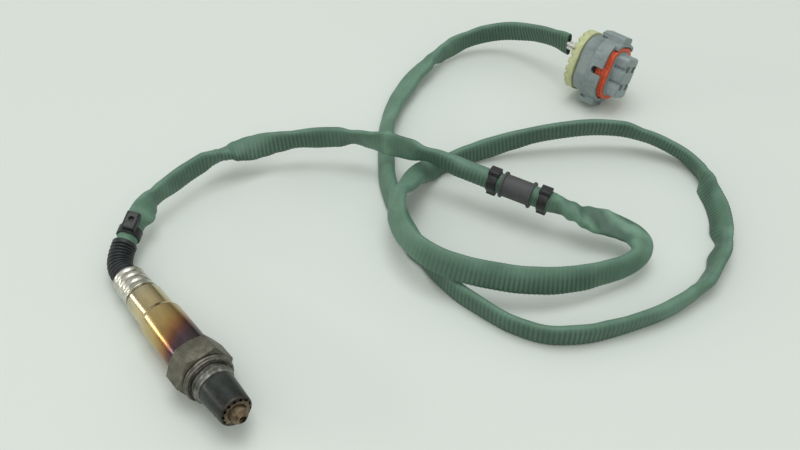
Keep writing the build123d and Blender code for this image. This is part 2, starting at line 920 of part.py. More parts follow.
pieces["wire_tails"] = joined(wire_tails(cord_end, cord_away, plug))
for build in (rear_retainer, wire_seal, connector_housing, interface_seal, terminal_carrier):
    pieces[build.__name__] = plug * build()
pieces["terminals"] = plug * joined(terminals())

os.makedirs("parts", exist_ok=True)
for name, shape in pieces.items():
    export_step(shape, "parts/" + name + ".step")
    print(name, len(shape.solids()), round(shape.volume))
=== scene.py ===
import math

import bmesh
import bpy
from mathutils import Matrix, Vector, noise


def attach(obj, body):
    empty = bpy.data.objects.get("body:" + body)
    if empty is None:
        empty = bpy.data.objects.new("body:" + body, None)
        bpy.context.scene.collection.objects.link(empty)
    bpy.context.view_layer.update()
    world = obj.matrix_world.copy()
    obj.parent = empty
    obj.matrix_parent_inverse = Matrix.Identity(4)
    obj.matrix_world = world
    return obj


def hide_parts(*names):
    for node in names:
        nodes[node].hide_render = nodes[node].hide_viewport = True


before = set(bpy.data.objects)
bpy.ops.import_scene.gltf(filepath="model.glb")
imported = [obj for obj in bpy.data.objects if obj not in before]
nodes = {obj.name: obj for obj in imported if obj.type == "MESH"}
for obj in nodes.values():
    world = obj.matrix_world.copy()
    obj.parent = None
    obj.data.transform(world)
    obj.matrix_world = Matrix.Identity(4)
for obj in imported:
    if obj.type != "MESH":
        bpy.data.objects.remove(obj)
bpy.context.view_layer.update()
bpy.ops.object.select_all(action="DESELECT")
print("frame loaded:", len(nodes), "nodes")

mm = 0.001

camera = {
    "place": (0.24818, -0.07985, 0.305),
    "looks": (-0.57686, 0.44956, -0.68200),
    "lens": 41.85,
    "film": 36,
    "clipFrom": 0.01,
}
lamps = {
    # name: place, width, height, watts, colour
    "keyLamp": ((-0.12, 0.22, 1.50), 0.9, 0.9, 8.0, (0.96, 0.99, 1.0)),
    "fillLamp": ((0.75, -0.40, 1.00), 1.0, 1.0, 2.2, (0.99, 0.99, 0.97)),
    "sideLamp": ((-0.95, -1.05, 0.36), 1.10, 0.10, 3.8, (1.0, 0.99, 0.95)),
}
lampsFace = (0.0, 0.10, 0.0)
air = {
    "low": (0.34, 0.315, 0.27),
    "high": (0.74, 0.765, 0.74),
    "lowUpTo": 0.12,
    "highFrom": 0.62,
    "strength": 0.84,
}


def placeCamera():
    eye = bpy.data.objects.new("camera", bpy.data.cameras.new("camera"))
    bpy.context.collection.objects.link(eye)
    eye.data.lens = camera["lens"]
    eye.data.sensor_width = camera["film"]
    eye.data.clip_start = camera["clipFrom"]
    eye.location = camera["place"]
    eye.rotation_euler = Vector(camera["looks"]).to_track_quat("-Z", "Y").to_euler()
    bpy.context.scene.camera = eye


def placeLamps():
    for name, (place, width, height, watts, colour) in lamps.items():
        lamp = bpy.data.objects.new(name, bpy.data.lights.new(name, "AREA"))
        bpy.context.collection.objects.link(lamp)
        lamp.data.shape = "RECTANGLE"
        lamp.data.energy = watts
        lamp.data.size = width
        lamp.data.size_y = height
        lamp.data.color = colour
        lamp.location = place
        # turned to the part, its width along the sensor
        back = (Vector(place) - Vector(lampsFace)).normalized()
        wide = (Vector((1, 0, 0)) - back * back.x).normalized()
        lamp.rotation_euler = Matrix((wide, back.cross(wide), back)).transposed().to_euler()


def fillAir():
    # A room that is dim near the ground and bright overhead
    world = bpy.data.worlds.new("air")
    bpy.context.scene.world = world
    world.use_nodes = True
    tree = world.node_tree
    ways = tree.nodes.new("ShaderNodeTexCoord")
    parts = tree.nodes.new("ShaderNodeSeparateXYZ")
    ramp = tree.nodes.new("ShaderNodeValToRGB")
    tree.links.new(ways.outputs["Generated"], parts.inputs[0])
    tree.links.new(parts.outputs[2], ramp.inputs["Fac"])
    tree.links.new(ramp.outputs["Color"], tree.nodes["Background"].inputs["Color"])
    near, far = ramp.color_ramp.elements
    near.position, near.color = air["lowUpTo"], (*air["low"], 1)
    far.position, far.color = air["highFrom"], (*air["high"], 1)
    tree.nodes["Background"].inputs["Strength"].default_value = air["strength"]
    bpy.context.scene.view_settings.view_transform = "Standard"


placeCamera()
placeLamps()
fillAir()
print("camera and lamps placed")


# Small helpers for materials

def newMaterial(name, colour, roughness=0.5, metallic=0.0):
    material = bpy.data.materials.new(name)
    material.use_nodes = True
    shader = shaderOf(material)
    shader.inputs["Base Color"].default_value = (*colour, 1)
    shader.inputs["Roughness"].default_value = roughness
    shader.inputs["Metallic"].default_value = metallic
    return material


def shaderOf(material):
    return material.node_tree.nodes["Principled BSDF"]


def addNode(material, kind, **settings):
    made = material.node_tree.nodes.new(kind)
    for key, value in settings.items():
        setattr(made, key, value)
    return made


def join(material, output, socket):
    material.node_tree.links.new(output, socket)


def pointsOf(material, output="Object"):
    for made in material.node_tree.nodes:
        if made.bl_idname == "ShaderNodeTexCoord":
            return made.outputs[output]
    return addNode(material, "ShaderNodeTexCoord").outputs[output]


def noiseOn(material, scale, detail=4.0, rough=0.55, stretch=(1, 1, 1)):
    mapping = addNode(material, "ShaderNodeMapping")
    mapping.inputs["Scale"].default_value = stretch
    join(material, pointsOf(material), mapping.inputs["Vector"])
    grain = addNode(material, "ShaderNodeTexNoise")
    grain.inputs["Scale"].default_value = scale
    grain.inputs["Detail"].default_value = detail
    grain.inputs["Roughness"].default_value = rough
    join(material, mapping.outputs["Vector"], grain.inputs["Vector"])
    return grain.outputs["Fac"]


def rampOn(material, value, stops):
    ramp = addNode(material, "ShaderNodeValToRGB")
    elements = ramp.color_ramp.elements
    while len(elements) < len(stops):
        elements.new(0.5)
    for element, (place, colour) in zip(elements, stops):
        element.position = place
        element.color = (*colour, 1)
    join(material, value, ramp.inputs["Fac"])
    return ramp.outputs["Color"]


def mixOf(material, factor, first, second, blend="MIX"):
    # inputs 6 and 7 of a colour mix take its two colours, and output 2 gives the result
    mix = addNode(material, "ShaderNodeMix", data_type="RGBA", blend_type=blend)
    sockets = (mix.inputs[0], mix.inputs[6], mix.inputs[7])
    for given, socket in zip((factor, first, second), sockets):
        if isinstance(given, float):
            socket.default_value = given
        elif isinstance(given, tuple):
            socket.default_value = (*given, 1)
        else:
            join(material, given, socket)
    return mix.outputs[2]


def spreadOf(material, value, low, high, start=0.0, end=1.0):
    spread = addNode(material, "ShaderNodeMapRange")
    limits = {"From Min": start, "From Max": end, "To Min": low, "To Max": high}
    for name, number in limits.items():
        spread.inputs[name].default_value = number
    join(material, value, spread.inputs["Value"])
    return spread.outputs["Result"]


def mathOf(material, operation, *values):
    made = addNode(material, "ShaderNodeMath", operation=operation)
    for given, socket in zip(values, made.inputs):
        if isinstance(given, (int, float)):
            socket.default_value = given
        else:
            join(material, given, socket)
    return made.outputs["Value"]


def setColour(material, output):
    join(material, output, shaderOf(material).inputs["Base Color"])


def setRoughness(material, value, low, high):
    # most of a noise lies between 0.3 and 0.7
    spread = spreadOf(material, value, low, high, 0.3, 0.7)
    join(material, spread, shaderOf(material).inputs["Roughness"])


def setBump(material, value, strength, depth):
    bump = addNode(material, "ShaderNodeBump")
    bump.inputs["Strength"].default_value = strength
    bump.inputs["Distance"].default_value = depth
    join(material, value, bump.inputs["Height"])
    join(material, bump.outputs["Normal"], shaderOf(material).inputs["Normal"])


# The sensor lies tilted: stations run along it from the seat face of the hexagon,
# towards its tip, in millimetres
seat = {"x": 21.757, "z": 11.613, "tilt": 3.319}
seatPoint = Vector((seat["x"], 0, seat["z"])) * mm
tilt = math.radians(seat["tilt"])
sensorAxis = Vector((math.cos(tilt), 0, math.sin(tilt)))
sensorUp = Vector((-sensorAxis.z, 0, sensorAxis.x))


def stationAndRadius(point):
    away = point - seatPoint
    station = away.dot(sensorAxis)
    return station / mm, (away - sensorAxis * station).length / mm


def stationOf(material):
    shift = addNode(material, "ShaderNodeVectorMath", operation="SUBTRACT")
    shift.inputs[1].default_value = seatPoint
    join(material, pointsOf(material), shift.inputs[0])
    along = addNode(material, "ShaderNodeVectorMath", operation="DOT_PRODUCT")
    along.inputs[1].default_value = sensorAxis / mm
    join(material, shift.outputs[0], along.inputs[0])
    return along.outputs["Value"]


def tintAlong(material, stops, wobble=0.0, wobbleScale=150, reflectionSlant=0.0):
    # Colour bands along the sensor, with uneven edges; a slant sets them back on one side, to
    # paint a reflection on that side
    start, end = stops[0][0], stops[-1][0]
    station = stationOf(material)
    if reflectionSlant:
        parts = addNode(material, "ShaderNodeSeparateXYZ")
        join(material, pointsOf(material), parts.inputs[0])
        station = mathOf(material, "MULTIPLY_ADD", parts.outputs[1], reflectionSlant / mm, station)
    if wobble:
        drift = mathOf(material, "SUBTRACT", noiseOn(material, wobbleScale), 0.5)
        station = mathOf(material, "MULTIPLY_ADD", drift, wobble, station)
    place = spreadOf(material, station, 0.0, 1.0, start, end)
    shares = [((at - start) / (end - start), colour) for at, colour in stops]
    return rampOn(material, place, shares)


# Metals

def hexSteel():
    material = newMaterial("hexSteel", (0.12, 0.115, 0.09), metallic=0.8)
    blotch = rampOn(material, noiseOn(material, scale=260, detail=6.0, rough=0.65), [
        (0.30, (0.125, 0.119, 0.094)),
        (0.52, (0.185, 0.177, 0.142)),
        (0.74, (0.270, 0.258, 0.210)),
    ])
    fine = noiseOn(material, scale=1900, detail=3.0, rough=0.6)
    speck = rampOn(material, fine, [(0.40, (0.62, 0.62, 0.62)), (0.62, (1.0, 0.98, 0.92))])
    setColour(material, mixOf(material, 1.0, blotch, speck, "MULTIPLY"))
    setRoughness(material, fine, low=0.36, high=0.66)
    setBump(material, fine, strength=0.25, depth=0.08 * mm)
    return material


def threadSteel():
    material = newMaterial("threadSteel", (0.2, 0.19, 0.17), metallic=0.6)
    smear = noiseOn(material, scale=210, detail=5.0, rough=0.6, stretch=(1, 1, 0.7))
    setColour(material, rampOn(material, smear, [
        (0.36, (0.085, 0.083, 0.074)),
        (0.50, (0.190, 0.187, 0.168)),
        (0.60, (0.38, 0.38, 0.35)),
        (0.70, (0.60, 0.60, 0.56)),
    ]))
    setRoughness(material, smear, low=0.40, high=0.80)
    setBump(material, noiseOn(material, scale=1500), strength=0.2, depth=0.08 * mm)
    return material


def gasketSteel():
    material = newMaterial("gasketSteel", (0.2, 0.19, 0.17), metallic=0.85)
    blotch = noiseOn(material, scale=330, detail=5.0)
    setColour(material, rampOn(material, blotch, [
        (0.32, (0.085, 0.080, 0.066)),
        (0.55, (0.170, 0.160, 0.138)),
        (0.74, (0.30, 0.285, 0.25)),
    ]))
    setRoughness(material, blotch, low=0.32, high=0.52)
    setBump(material, noiseOn(material, scale=900), strength=0.2, depth=0.1 * mm)
    return material


def sootedSteel():
    # Black with soot, with a lighter band at the corner round its front face as a painted
    # highlight
    material = newMaterial("sootedSteel", (0.05, 0.058, 0.055), metallic=0.5)
    bands = tintAlong(material, [
        (8.0, (0.058, 0.064, 0.060)),
        (12.0, (0.040, 0.048, 0.044)),
        (18.0, (0.032, 0.038, 0.036)),
        (22.3, (0.030, 0.032, 0.029)),
        # painted highlight on the corner round the front face
        (23.0, (0.075, 0.066, 0.052)),
        (23.5, (0.022, 0.021, 0.018)),
        (24.1, (0.018, 0.017, 0.015)),
    ], wobble=1.2, wobbleScale=260)
    soot = noiseOn(material, scale=300, detail=6.0, rough=0.62)
    tint = rampOn(material, soot, [(0.3, (0.40, 0.42, 0.42)), (0.7, (1.0, 0.97, 0.92))])
    setColour(material, mixOf(material, 1.0, bands, tint, "MULTIPLY"))
    setRoughness(material, soot, low=0.28, high=0.50)
    setBump(material, noiseOn(material, scale=1300), strength=0.25, depth=0.1 * mm)
    return material


def noseSteel():
    material = newMaterial("noseSteel", (0.2, 0.16, 0.1), metallic=0.7)
    stain = noiseOn(material, scale=420, detail=5.0)
    setColour(material, rampOn(material, stain, [
        (0.32, (0.085, 0.060, 0.036)),
        (0.55, (0.190, 0.140, 0.088)),
        (0.75, (0.34, 0.29, 0.21)),
    ]))
    setRoughness(material, stain, low=0.36, high=0.58)
    setBump(material, noiseOn(material, scale=1400, detail=3.0), strength=0.15, depth=0.06 * mm)
    return material


def shellSteel():
    # Heat tint: straw at the cool end, then gold, brown, violet and blue-black by the hexagon; on
    # one side the bands are slanted back, a painted reflection of the floor in gold
    material = newMaterial("shellSteel", (0.6, 0.5, 0.3), metallic=1.0)
    tint = tintAlong(material, [
        (-56.5, (0.56, 0.51, 0.37)),
        (-49.0, (0.66, 0.55, 0.32)),
        (-41.0, (0.60, 0.48, 0.25)),
        (-36.0, (0.56, 0.42, 0.19)),
        (-30.5, (0.50, 0.34, 0.13)),
        (-26.0, (0.41, 0.215, 0.085)),
        (-21.5, (0.215, 0.095, 0.062)),
        (-17.0, (0.110, 0.070, 0.090)),
        (-11.5, (0.085, 0.070, 0.068)),
    # the slant is a painted reflection: the floor's gold reaches nearer the hexagon on one side
    ], wobble=9.0, wobbleScale=62, reflectionSlant=0.55)
    grime = noiseOn(material, scale=420, detail=5.0, rough=0.6, stretch=(0.25, 1, 1))
    shade = rampOn(material, grime, [(0.34, (0.84, 0.83, 0.82)), (0.66, (1.0, 1.0, 1.0))])
    setColour(material, mixOf(material, 1.0, tint, shade, "MULTIPLY"))
    setRoughness(material, grime, low=0.17, high=0.25)
    return material


def crimpSteel():
    material = newMaterial("crimpSteel", (0.66, 0.65, 0.6), metallic=1.0)
    setColour(material, rampOn(material, noiseOn(material, scale=260), [
        (0.3, (0.46, 0.45, 0.38)),
        (0.6, (0.66, 0.65, 0.58)),
        (0.8, (0.76, 0.75, 0.69)),
    ]))
    setRoughness(material, noiseOn(material, scale=900, detail=3.0), low=0.24, high=0.36)
    return material


def plainSteel():
    material = newMaterial("plainSteel", (0.5, 0.5, 0.48), roughness=0.4, metallic=1.0)
    setColour(material, rampOn(material, noiseOn(material, scale=500), [
        (0.3, (0.40, 0.40, 0.38)),
        (0.7, (0.58, 0.58, 0.55)),
    ]))
    return material


def brightTin():
    material = newMaterial("brightTin", (0.6, 0.56, 0.42), roughness=0.35, metallic=1.0)
    setColour(material, rampOn(material, noiseOn(material, scale=900), [
        (0.3, (0.52, 0.46, 0.30)),
        (0.7, (0.68, 0.63, 0.50)),
    ]))
    return material


# Rubbers, plastics and ceramics

def mattSkin(name, dark, light, roughness, scale=700, bump=0.2):
    material = newMaterial(name, dark)
    grain = noiseOn(material, scale, detail=5.0)
    setColour(material, rampOn(material, grain, [(0.35, dark), (0.7, light)]))
    setRoughness(material, grain, *roughness)
    finer = noiseOn(material, scale * 2.5, detail=3.0)
    setBump(material, finer, bump, depth=0.06 * mm)
    return material


finishes = {
    "hex": hexSteel(),
    "thread": threadSteel(),
    "gasket": gasketSteel(),
    "sooted": sootedSteel(),
    "nose": noseSteel(),
    "shell": shellSteel(),
    "crimp": crimpSteel(),
    "steel": plainSteel(),
    "tin": brightTin(),
    # name, dark and light colour, roughness from and to, and for some their grain and bump
    "boot": mattSkin(
        "bootRubber", (0.008, 0.011, 0.012), (0.022, 0.028, 0.030), (0.34, 0.56)),
    "bush": mattSkin(
        "bushRubber", (0.054, 0.058, 0.059), (0.072, 0.077, 0.078), (0.5, 0.68), 300, 0.1),
    "clamp": mattSkin(
        "clampNylon", (0.007, 0.008, 0.009), (0.022, 0.024, 0.026), (0.30, 0.56)),
    "lead": mattSkin(
        "whiteLead", (0.60, 0.60, 0.56), (0.76, 0.76, 0.72), (0.34, 0.5)),
    "seal": mattSkin(
        "sealSilicone", (0.62, 0.075, 0.022), (0.78, 0.130, 0.046), (0.40, 0.6)),
    "plug": mattSkin(
        "plugPlastic", (0.195, 0.245, 0.245), (0.262, 0.315, 0.315), (0.34, 0.5), 320, 0.1),
    "carrier": mattSkin(
        "carrierPlastic", (0.225, 0.285, 0.292), (0.300, 0.362, 0.370), (0.34, 0.5), 320, 0.1),
    "retainer": mattSkin(
        "retainerPlastic", (0.45, 0.48, 0.24), (0.58, 0.61, 0.35), (0.36, 0.52), 320, 0.1),
    "ceramic": mattSkin(
        "innerCeramic", (0.60, 0.58, 0.52), (0.72, 0.70, 0.64), (0.5, 0.7)),
    # the grommet's black rubber, also used as painted shade inside the plug
    "blackRubberAndShade": mattSkin(
        "grommetRubberAndShade", (0.015, 0.016, 0.017), (0.04, 0.04, 0.042), (0.5, 0.7)),
}
print("materials made:", len(finishes))


# The sleeved lead, in millimetres

sleeve = {
    "radius": 4.75,
    "length": 1141.8,
    "exit": (-68.642, 8.251, 9.709),
    "resolution": 24,
    "pitch": 2.05,
    # heights of the rings of one rib, as shares of the way from the valley to the crown
    "ribHeights": (0.0, 0.65, 1.0, 0.65),
    "sides": 32,
    "valley": 0.050,  # depth of a rib as a share of the radius
    # how much wider, thinner and squarer the section is where it lies flat
    "wide": 0.31,
    "thin": 0.64,
    "square": 0.38,
    # ribs fade where the wall faces up, between these steepnesses, by this share at most; the
    # colour follows, so faces turned up are painted lighter, as painted top light
    "topFrom": 0.45,
    "topFull": 0.90,
    "topSmooth": 0.75,
    "offGround": 0.2,
    # the turned-in ends: radii of the rim and of the inner edge, and how many rings deep
    "rim": 0.88,
    "innerEdge": 0.82,
    "endDepth": 6,
}
# where it is crumpled: height of the folds, and depth and scale of their creases and ripples
folds = {"height": 0.95, "rise": 0.45, "creases": (2.2, 72), "ripples": (0.5, 190)}
sleeveLook = {
    # painted light and shade: valley darkens the rib grooves, shade and crest are the ribbed
    # faces darkened, and body and light are the lighter colour where ribs fade, mostly on faces
    # turned up
    "valley": (0.034, 0.076, 0.050),
    "shade": (0.058, 0.122, 0.082),
    "crest": (0.082, 0.165, 0.112),
    "body": (0.095, 0.192, 0.132),
    "light": (0.135, 0.255, 0.180),
    # the cut edge's own dark colour, also painted as shade on the inside
    "cutEdgeAndInnerShade": (0.020, 0.030, 0.026),
    # painted shade in a crease and painted highlight on a fold: what the colour is multiplied by
    # in a crease, between and on a fold
    "creases": [(0.05, (0.52, 0.56, 0.56)), (0.5, (1, 1, 1)), (0.95, (1.35, 1.3, 1.3))],
}


def greenSleeving():
    # The map gives ribs along and turns around, so the weave follows the sleeve
    material = newMaterial("greenSleeving", sleeveLook["body"])
    parts = addNode(material, "ShaderNodeSeparateXYZ")
    join(material, pointsOf(material, "UV"), parts.inputs[0])
    ribs = parts.outputs[0]
    fromMiddle = mathOf(material, "SUBTRACT", mathOf(material, "FRACT", ribs), 0.5)
    crown = spreadOf(material, mathOf(material, "ABSOLUTE", fromMiddle), 1.0, 0.0, 0.16, 0.46)
    cloud = noiseOn(material, scale=70)
    # painted shade in the rib grooves and on the ribbed faces, and painted top light where the
    # ribbing fades
    body = rampOn(material, cloud, [(0.34, sleeveLook["body"]), (0.66, sleeveLook["light"])])
    crest = rampOn(material, cloud, [(0.34, sleeveLook["shade"]), (0.66, sleeveLook["crest"])])
    ribsInPaintedShade = mixOf(material, crown, sleeveLook["valley"], crest)
    strength = addNode(material, "ShaderNodeAttribute", attribute_name="ribbing")
    toneAndPaintedLight = mixOf(material, strength.outputs["Fac"], body, ribsInPaintedShade)
    # painted shade darkens the creases and a painted highlight lightens the folds
    fold = addNode(material, "ShaderNodeAttribute", attribute_name="fold")
    creased = rampOn(material, fold.outputs["Fac"], sleeveLook["creases"])
    toneAndPaintedLight = mixOf(material, 1.0, toneAndPaintedLight, creased, "MULTIPLY")
    # the last rib and the turned-in inside are painted dark: the cut edge in its own dark colour,
    # and the inside as painted shade
    ribCount = sleeve["length"] / sleeve["pitch"]
    cutBack = spreadOf(material, ribs, 0.0, 1.0, ribCount - 1.3, ribCount - 0.4)
    setColour(material, mixOf(material, cutBack, toneAndPaintedLight, sleeveLook["cutEdgeAndInnerShade"]))
    weave = addNode(material, "ShaderNodeTexWave", wave_type="BANDS", bands_direction="DIAGONAL")
    weave.inputs["Scale"].default_value = 1.0
    weave.inputs["Distortion"].default_value = 0.4
    stretch = addNode(material, "ShaderNodeMapping")
    stretch.inputs["Scale"].default_value = (3.0, 40.0, 1.0)
    join(material, pointsOf(material, "UV"), stretch.inputs["Vector"])
    join(material, stretch.outputs["Vector"], weave.inputs["Vector"])
    setBump(material, weave.outputs["Fac"], strength=0.18, depth=0.1 * mm)
    setRoughness(material, noiseOn(material, scale=500), low=0.42, high=0.62)
    return material


finishes["sleeving"] = greenSleeving()

# Corners of its route
sleeveRoute = [
    (-67.139, 6.376, 9.038),
    (-78.0, 19.862, 13.866),
    (-86, 36, 15),
    (-92, 58, 15.5),
    (-94, 76, 15.3),
    (-85, 95, 15.5),
    (-76, 112, 17),
    (-62, 128, 19),
    (-46, 138, 20),
    (-30, 147, 21),
    (-6, 156, 20),
    (44, 178.5, 16.6),
    (64.8, 193, 13),
    (75.5, 194, 12),
    (82.6, 185.9, 11),
    (80.5, 172, 10.5),
    (76, 153.5, 12.5),
    (66, 135.5, 15),
    (49, 119, 17.5),
    (31.5, 107, 20),
    (10, 106.5, 20),
    (-9, 118.5, 20),
    (-17, 131, 17),
    (-26, 143, 11),
    (-29.5, 158, 6),
    (-25.5, 179, 6.5),
    (-16, 201, 9),
    (-3, 224, 13),
    (12, 246, 14.5),
    (30, 262, 10.5),
    (50, 267, 6.5),
    (67.5, 256, 5),
    (84, 245, 5),
    (97, 228, 5),
    (106, 206, 5),
    (108, 181, 5),
    (103, 157, 5),
    (93.5, 131, 5),
    (78, 120, 5),
    (58, 114, 5),
    (36, 110, 5),
    (14, 113, 5),
    (-10, 122, 5),
    (-34, 132, 5),
    (-56, 147, 5),
    (-75, 162, 5),
    (-89, 179, 6),
    (-98.5, 199, 7),
    (-105.5, 220.5, 9),
    (-106.5, 243, 10.5),
    (-99, 260, 13.5),
    (-82, 270, 17.5),
    (-63, 272.5, 22),
    (-48.324, 271.495, 23.684),
]

# How it lies: distance along, turn of its flat side in degrees, flatness, ribbing,
# lean sideways, crumpling
sleeveLay = [
    (0, 0, 0.0, 0.6, 0.0, 0.0),
    (14, 0, 0.1, 0.5, 0.0, 0.0),
    (20, -6, 1.0, 0.1, -0.6, 0.05),
    (26, 30, 0.85, 0.1, -0.2, 0.15),
    (31, 60, 0.8, 0.5, 0.3, 0.3),
    (46, 46, 0.8, 0.8, -0.3, 0.1),
    (62, 46, 0.8, 0.9, -0.3, 0.1),
    (70, 72, 0.6, 0.9, -0.6, 0.2),
    (76, 102, 0.45, 0.9, -1.0, 0.2),
    (81, 142, 0.8, 1.0, -1.2, 0.1),
    (89, 170, 1.0, 1.0, -0.9, 0.2),
    (95, 186, 0.9, 0.9, -0.4, 0.3),
    (102, 214, 0.8, 1.0, 0.0, 0.1),
    (111, 230, 0.8, 1.0, 0.0, 0.0),
    (124, 216, 0.8, 0.9, -0.3, 0.0),
    (133, 220, 0.8, 0.7, -0.3, 0.1),
    (141, 245, 0.9, 0.5, 0.2, 0.3),
    (150, 236, 0.9, 0.3, 0.1, 0.4),
    (160, 205, 1.0, 0.2, 0.0, 0.5),
    (171, 216, 0.9, 0.25, -0.2, 0.3),
    (181, 246, 0.9, 0.4, 0.0, 0.2),
    (191, 230, 0.7, 0.8, 0.0, 0.1),
    (203, 210, 0.1, 0.8, 0.0, 0.0),
    (244, 210, 0.1, 0.5, 0.0, 0.0),
    (250, 232, 0.6, 0.3, 0.0, 0.4),
    (257, 270, 0.05, 0.1, -0.4, 0.8),
    (264, 325, 0.9, 0.1, -0.8, 1.0),
    (272, 338, 1.0, 0.1, -0.9, 1.0),
    (281, 336, 1.0, 0.05, -0.6, 1.0),
    (290, 330, 0.6, 0.05, -0.1, 0.7),
    (300, 312, 0.5, 0.05, -0.1, 0.2),
    (312, 318, 0.7, 0.05, 0.3, 0.0),
    (322, 322, 0.8, 0.5, 0.0, 0.0),
    (333, 337, 0.9, 0.9, 0.1, 0.0),
    (350, 348, 1.0, 1.0, 0.5, 0.0),
    (365, 349, 1.0, 1.0, 1.0, 0.0),
    (385, 342, 1.0, 0.9, 1.4, 0.0),
    (400, 333, 0.9, 0.6, 1.3, 0.0),
    (412, 322, 0.8, 0.2, 1.1, 0.0),
    (430, 312, 0.8, 0.1, 0.9, 0.0),
    (442, 302, 0.8, 0.1, 0.3, 0.1),
    (458, 310, 0.7, 0.2, -1.2, 0.1),
    (470, 325, 0.6, 0.5, -1.5, 0.0),
    (482, 360, 0.6, 0.8, -1.4, 0.0),
    (495, 410, 0.7, 1.0, -1.2, 0.0),
    (508, 404, 0.8, 1.0, -0.6, 0.0),
    (520, 396, 0.8, 1.0, -0.2, 0.0),
    (532, 404, 0.8, 1.0, 0.5, 0.0),
    (545, 414, 0.8, 1.0, 0.9, 0.0),
    (565, 414, 0.8, 1.0, 0.6, 0.0),
    (590, 416, 0.8, 1.0, -0.2, 0.0),
    (602, 428, 0.8, 0.8, -1.3, 0.0),
    (620, 427, 0.8, 0.9, -1.9, 0.1),
    (632, 424, 0.8, 0.9, -1.9, 0.1),
    (642, 430, 0.75, 0.7, -1.0, 0.4),
    (650, 388, 1.0, 0.8, -1.6, 0.5),
    (660, 388, 0.9, 1.0, -1.5, 0.1),
    (681, 392, 0.9, 1.0, -1.2, 0.2),
    (690, 424, 1.0, 0.5, 0.3, 0.6),
    (700, 408, 0.9, 0.8, 0.3, 0.3),
    (710, 428, 0.9, 0.6, 0.9, 0.3),
    (720, 432, 0.7, 0.4, 1.5, 0.2),
    (731, 455, 0.6, 0.3, 0.8, 0.1),
    (745, 465, 0.6, 0.3, 0.6, 0.0),
    (765, 474, 0.8, 0.7, 0.4, 0.0),
    (780, 480, 0.8, 0.9, 0.0, 0.0),
    (792, 484, 0.8, 1.0, -0.4, 0.0),
    (808, 484, 0.8, 1.0, 0.7, 0.0),
    (820, 482, 0.8, 1.0, 0.9, 0.0),
    (840, 484, 0.8, 1.0, 0.2, 0.0),
    (858, 486, 0.7, 1.0, -0.9, 0.0),
    (870, 490, 0.8, 0.9, -1.5, 0.1),
    (882, 503, 0.8, 0.7, 0.2, 0.1),
    (900, 505, 0.8, 0.5, 1.3, 0.0),
    (912, 496, 0.7, 0.4, 0.2, 0.0),
    (930, 490, 0.7, 0.3, 0.2, 0.0),
    (945, 488, 0.7, 0.2, -0.5, 0.0),
    (970, 482, 0.8, 0.1, -0.7, 0.0),
    (990, 485, 0.8, 0.1, -1.6, 0.1),
    (1010, 490, 0.8, 0.2, -2.0, 0.1),
    (1022, 484, 0.8, 0.4, -1.2, 0.1),
    (1033, 482, 0.8, 0.4, -1.6, 0.1),
    (1041, 450, 0.4, 0.3, -1.3, 0.3),
    (1050, 410, 0.8, 0.4, -2.1, 0.3),
    (1060, 396, 0.8, 0.8, -1.7, 0.1),
    (1070, 406, 0.8, 1.0, -1.6, 0.0),
    (1082, 398, 0.8, 1.0, -1.3, 0.0),
    (1100, 394, 0.8, 1.0, -0.7, 0.0),
    (1114, 404, 0.8, 1.0, -0.5, 0.0),
    (1128, 406, 0.8, 1.0, -0.2, 0.0),
    (1137, 392, 1.0, 1.0, 0.0, 0.0),
    (1144, 388, 1.1, 0.9, 0.0, 0.0),
]


def smoothLine(name, corners, resolution):
    # The smooth line that a spline draws past these corners
    data = bpy.data.curves.new(name, "CURVE")
    data.dimensions = "3D"
    spline = data.splines.new("NURBS")
    spline.points.add(len(corners) - 1)
    for point, corner in zip(spline.points, corners):
        point.co = (*corner, 1)
    spline.order_u = 3
    spline.use_endpoint_u = True
    spline.resolution_u = resolution
    line = bpy.data.objects.new(name, data)
    bpy.context.collection.objects.link(line)
    bpy.context.view_layer.update()
    traced = bpy.data.meshes.new_from_object(line)
    points = [vertex.co.copy() for vertex in traced.vertices]
    bpy.data.meshes.remove(traced)
    bpy.data.objects.remove(line)
    bpy.data.curves.remove(data)
    return points


def along(points):
    # Distance of each point from the first, along the line
    distances = [0.0]
    for before, after in zip(points, points[1:]):
        distances.append(distances[-1] + (after - before).length)
    return distances


def layAt(distance):
    # The row of the lay at this distance, eased from one row to the next
    for before, after in zip(sleeveLay, sleeveLay[1:]):
        if distance <= after[0]:
            share = max(0.0, (distance - before[0]) / (after[0] - before[0]))
            share = share * share * (3 - 2 * share)
            return [a + (b - a) * share for a, b in zip(before[1:], after[1:])]
    return list(sleeveLay[-1][1:])


def sleeveRings(points):
    # Rings of an oval section along the line, turned from the side that faces the camera
    distances = along(points)
    total = distances[-1]
    heights = sleeve["ribHeights"]
    ringCount = round(total / (sleeve["pitch"] * mm)) * len(heights)
    eye = Vector(camera["place"])
    rings, reach = [], 0
    for step in range(ringCount + 1):
        at = total * step / ringCount
        while reach < len(points) - 2 and distances[reach + 1] < at:
            reach += 1
        share = (at - distances[reach]) / (distances[reach + 1] - distances[reach])
        centre = points[reach].lerp(points[reach + 1], share)
        before, after = points[max(0, reach - 3)], points[min(len(points) - 1, reach + 4)]
        heading = (after - before).normalized()
        turn, flat, ribbing, lean, crumple = layAt(at / mm)
        turn = math.radians(turn)
        across = heading.cross(centre - eye).normalized()
        deep = heading.cross(across)
        wideWay = across * math.cos(turn) + deep * math.sin(turn)
        rings.append({
            "at": at,
            "centre": centre + across * lean * mm,
            "wideWay": wideWay,
            "thinWay": heading.cross(wideWay),
            "height": heights[step % len(heights)],
            "flat": flat,
            "ribbing": ribbing,
            "crumple": crumple,
        })
    return rings


